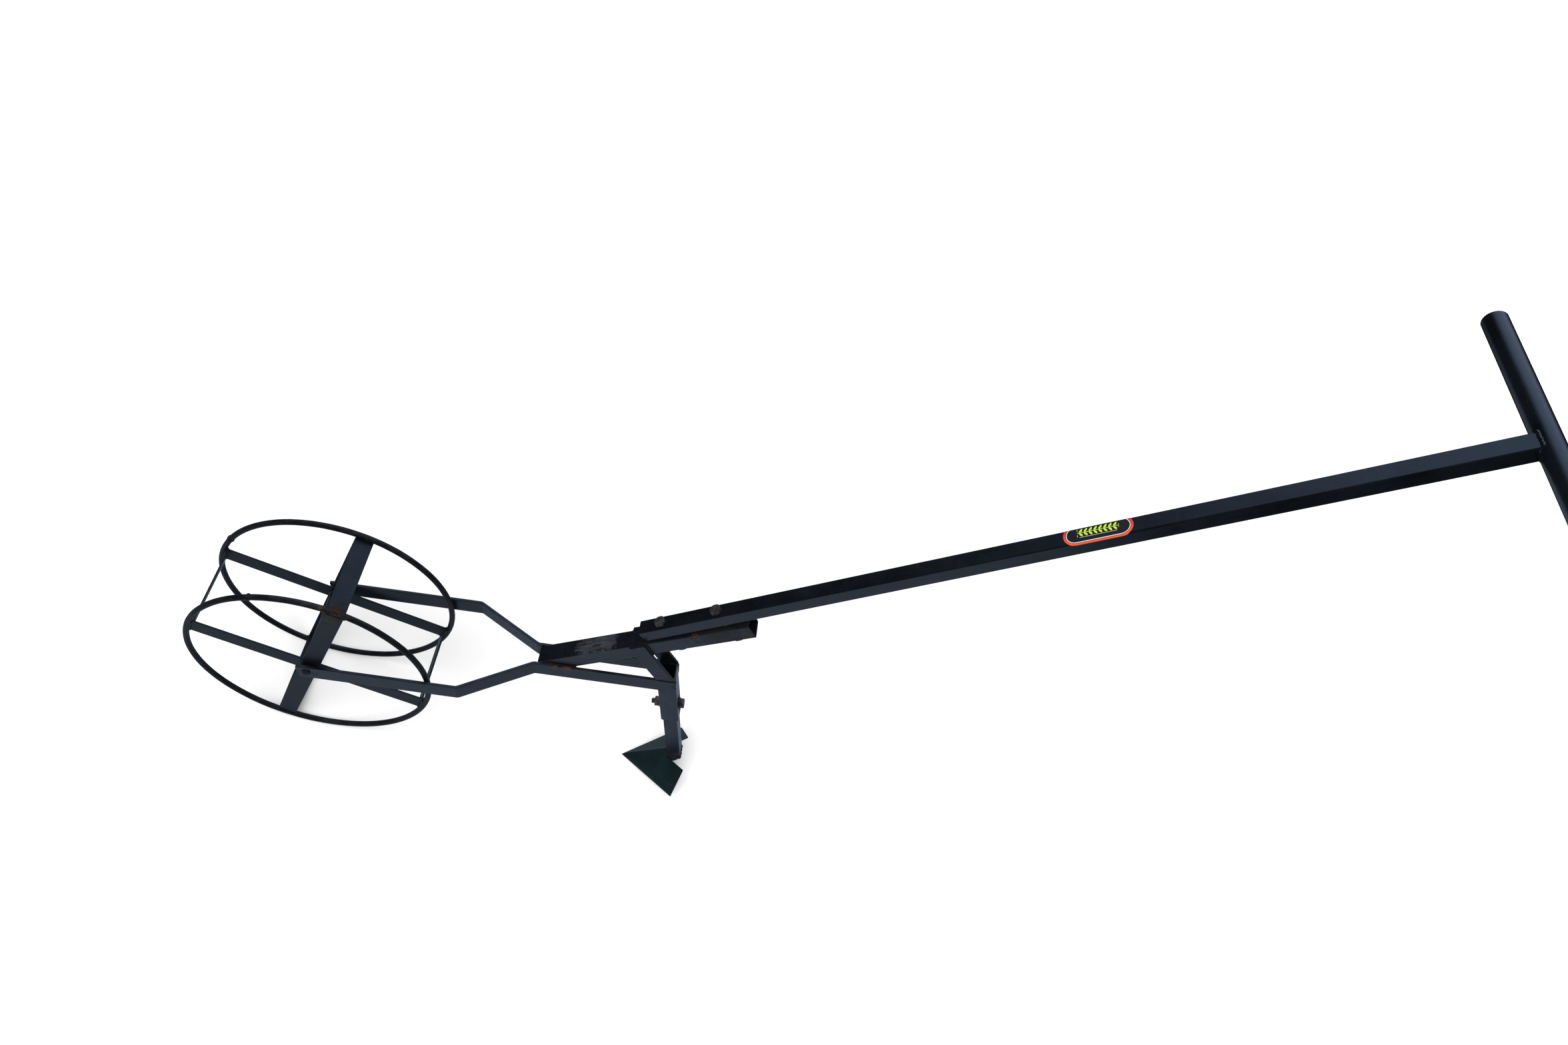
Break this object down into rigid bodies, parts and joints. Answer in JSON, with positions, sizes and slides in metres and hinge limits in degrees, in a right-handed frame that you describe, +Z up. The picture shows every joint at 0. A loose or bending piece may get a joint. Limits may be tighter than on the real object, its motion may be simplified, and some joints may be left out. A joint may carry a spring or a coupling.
{
  "type": "wheel hoe",
  "caption": "Hand-pushed wheel hoe: a cage wheel in a flat-bar fork, a square-tube beam and long handle with a T grip, and a V sweep blade on a shank clamped in a sleeve.",
  "frame": {"origin": "on the ground under the middle of the bounding box, standing on the wheel and the blade's point", "axes": "+X from the wheel to the grip (to the rear, towards the operator), +Y to the operator's right, +Z up"},
  "size_m": [1.5912, 0.426, 1.3413],
  "materials": {
    "black_enamel": "gloss",
    "green_black_enamel": "satin",
    "oiled_steel": "satin",
    "label_print": "gloss"
  },
  "bodies": {
    "frame": {"axle_rod": "black_enamel", "axle_spacer_left": "black_enamel", "axle_spacer_right": "black_enamel", "fork_arm_left": "black_enamel", "fork_arm_right": "black_enamel", "frame_beam": "black_enamel", "grip_end_cap_left": "black_enamel", "grip_end_cap_right": "black_enamel", "grip_tube": "black_enamel", "handle_bolt_front": "oiled_steel", "handle_bolt_rear": "oiled_steel", "handle_label": "label_print", "handle_nut_front": "oiled_steel", "handle_nut_rear": "oiled_steel", "handle_spacer": "oiled_steel", "handle_tube": "black_enamel", "handle_washer_front": "oiled_steel", "handle_washer_rear": "oiled_steel", "strut_left": "black_enamel", "strut_right": "black_enamel", "tool_sleeve": "black_enamel"},
    "wheel": {"hub_tube": "black_enamel", "wheel_ring_left": "black_enamel", "wheel_ring_right": "black_enamel", "wheel_spoke_a_left": "black_enamel", "wheel_spoke_a_right": "black_enamel", "wheel_spoke_b_left": "black_enamel", "wheel_spoke_b_right": "black_enamel", "wheel_strip_bottom": "black_enamel", "wheel_strip_front": "black_enamel", "wheel_strip_rear": "black_enamel", "wheel_strip_top": "black_enamel"},
    "tool": {"clamp_bolt": "oiled_steel", "clamp_nut": "oiled_steel", "clamp_washer_front": "oiled_steel", "clamp_washer_rear": "oiled_steel", "sweep_blade": "green_black_enamel", "tool_shank": "black_enamel"}
  },
  "joints": [
    {"name": "wheel_spin", "type": "hinge", "parent": "frame", "child": "wheel", "pos_m": [-0.5921, 0, 0.2035], "axis": [0, 1, 0], "continuous": true},
    {"name": "tool_depth", "type": "slide", "parent": "frame", "child": "tool", "axis": [-0.2888, 0, 0.9574], "range_m": [-0.02, 0.02]}
  ]
}
